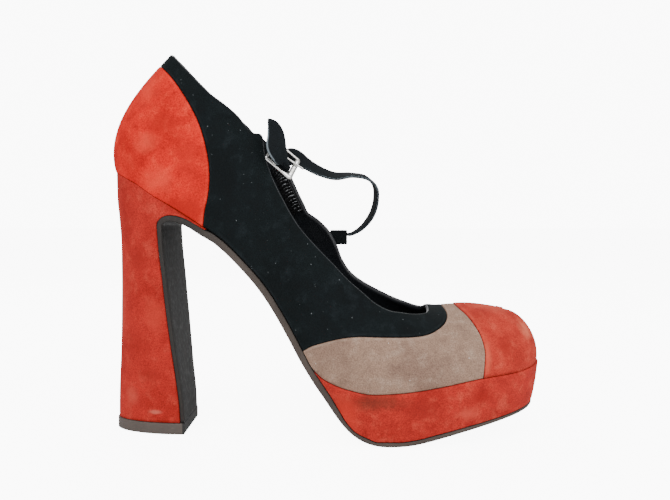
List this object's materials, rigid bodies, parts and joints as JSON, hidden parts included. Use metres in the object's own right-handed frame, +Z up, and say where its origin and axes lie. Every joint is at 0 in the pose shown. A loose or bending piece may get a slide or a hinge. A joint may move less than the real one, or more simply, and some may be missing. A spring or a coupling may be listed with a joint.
{
  "type": "platform pump with an instep strap",
  "caption": "Closed round-toe suede platform pump, right foot, with a high flared block heel, contrast toe cap, vamp and heel counter, and a buckled instep strap over an open throat.",
  "frame": {"origin": "middle of the heel's ground face, on the floor", "axes": "+X to the toe, +Y to the inner side of the foot, +Z up from the floor"},
  "size_m": [0.2192, 0.0813, 0.1912],
  "materials": {
    "black_suede": "black suede with a fine nap",
    "strap_suede": "black suede strap with painted edges",
    "taupe_suede": "taupe-grey suede, mottled",
    "red_suede": "orange-red suede, mottled",
    "platform_suede": "orange-red suede cover",
    "heel_suede": "orange-red suede cover over a moulded block",
    "sole_leather": "smooth grey-brown sole leather",
    "top_piece_rubber": "matt taupe heel tip",
    "black_lining": "smooth glossy black lining",
    "black_elastic": "ruched black elastic",
    "bright_nickel": "bright nickel"
  },
  "bodies": {
    "root": {"upper": "black_suede", "vamp_panel": "taupe_suede", "toe_cap": "red_suede", "heel_counter": "red_suede", "insole": "black_lining", "platform": "platform_suede", "outsole": "sole_leather", "heel": "heel_suede", "top_piece": "top_piece_rubber", "elastic_strip": "black_elastic", "strap_loop": "black_suede", "instep_strap": "strap_suede", "buckle_frame": "bright_nickel", "buckle_prong": "bright_nickel", "buckle_tab": "strap_suede"}
  },
  "joints": []
}
